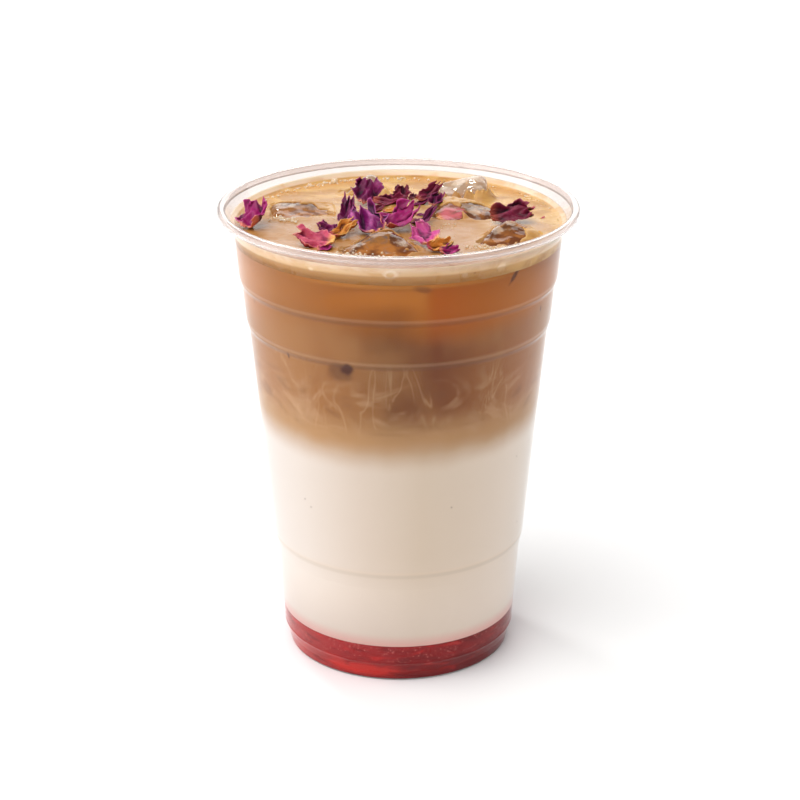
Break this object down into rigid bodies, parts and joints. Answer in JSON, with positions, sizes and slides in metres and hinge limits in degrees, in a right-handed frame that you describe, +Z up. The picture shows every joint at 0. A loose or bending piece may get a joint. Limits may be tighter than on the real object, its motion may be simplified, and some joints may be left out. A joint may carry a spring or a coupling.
{
  "type": "iced rose latte in a clear plastic cup",
  "caption": "Iced rose latte in a clear plastic cold cup: rose syrup, milk, latte and crema in layers, with ice cubes and dried rose petals on top.",
  "frame": {"origin": "on the table under the middle of the cup", "axes": "+Z up along the cup's axis, +Y away from the side that faces the viewer, +X to the viewer's right"},
  "size_m": [0.095, 0.095, 0.1258],
  "materials": {
    "clear_plastic": "clear, glossy, thin",
    "rose_syrup": "clear deep red syrup",
    "milk": "opaque white milk, slightly warm",
    "latte": "milky brown coffee, paler towards the milk",
    "crema": "pale tan foam with fine bubbles",
    "ice": "wet clear ice, partly coated with foam",
    "petal": "dried petal, crimson to purple"
  },
  "bodies": {
    "root": {"cup": "clear_plastic", "rose_syrup": "rose_syrup", "milk": "milk", "latte": "latte", "crema": "crema", "ice_1": "ice", "ice_2": "ice", "ice_3": "ice", "ice_4": "ice", "ice_5": "ice", "ice_6": "ice", "ice_7": "ice", "petal_1": "petal", "petal_2": "petal", "petal_3": "petal", "petal_4": "petal", "petal_5": "petal", "petal_6": "petal", "petal_7": "petal", "petal_8": "petal", "petal_9": "petal", "petal_10": "petal", "petal_11": "petal", "petal_12": "petal", "petal_13": "petal", "petal_14": "petal", "petal_15": "petal", "petal_16": "petal", "petal_17": "petal"}
  },
  "joints": []
}
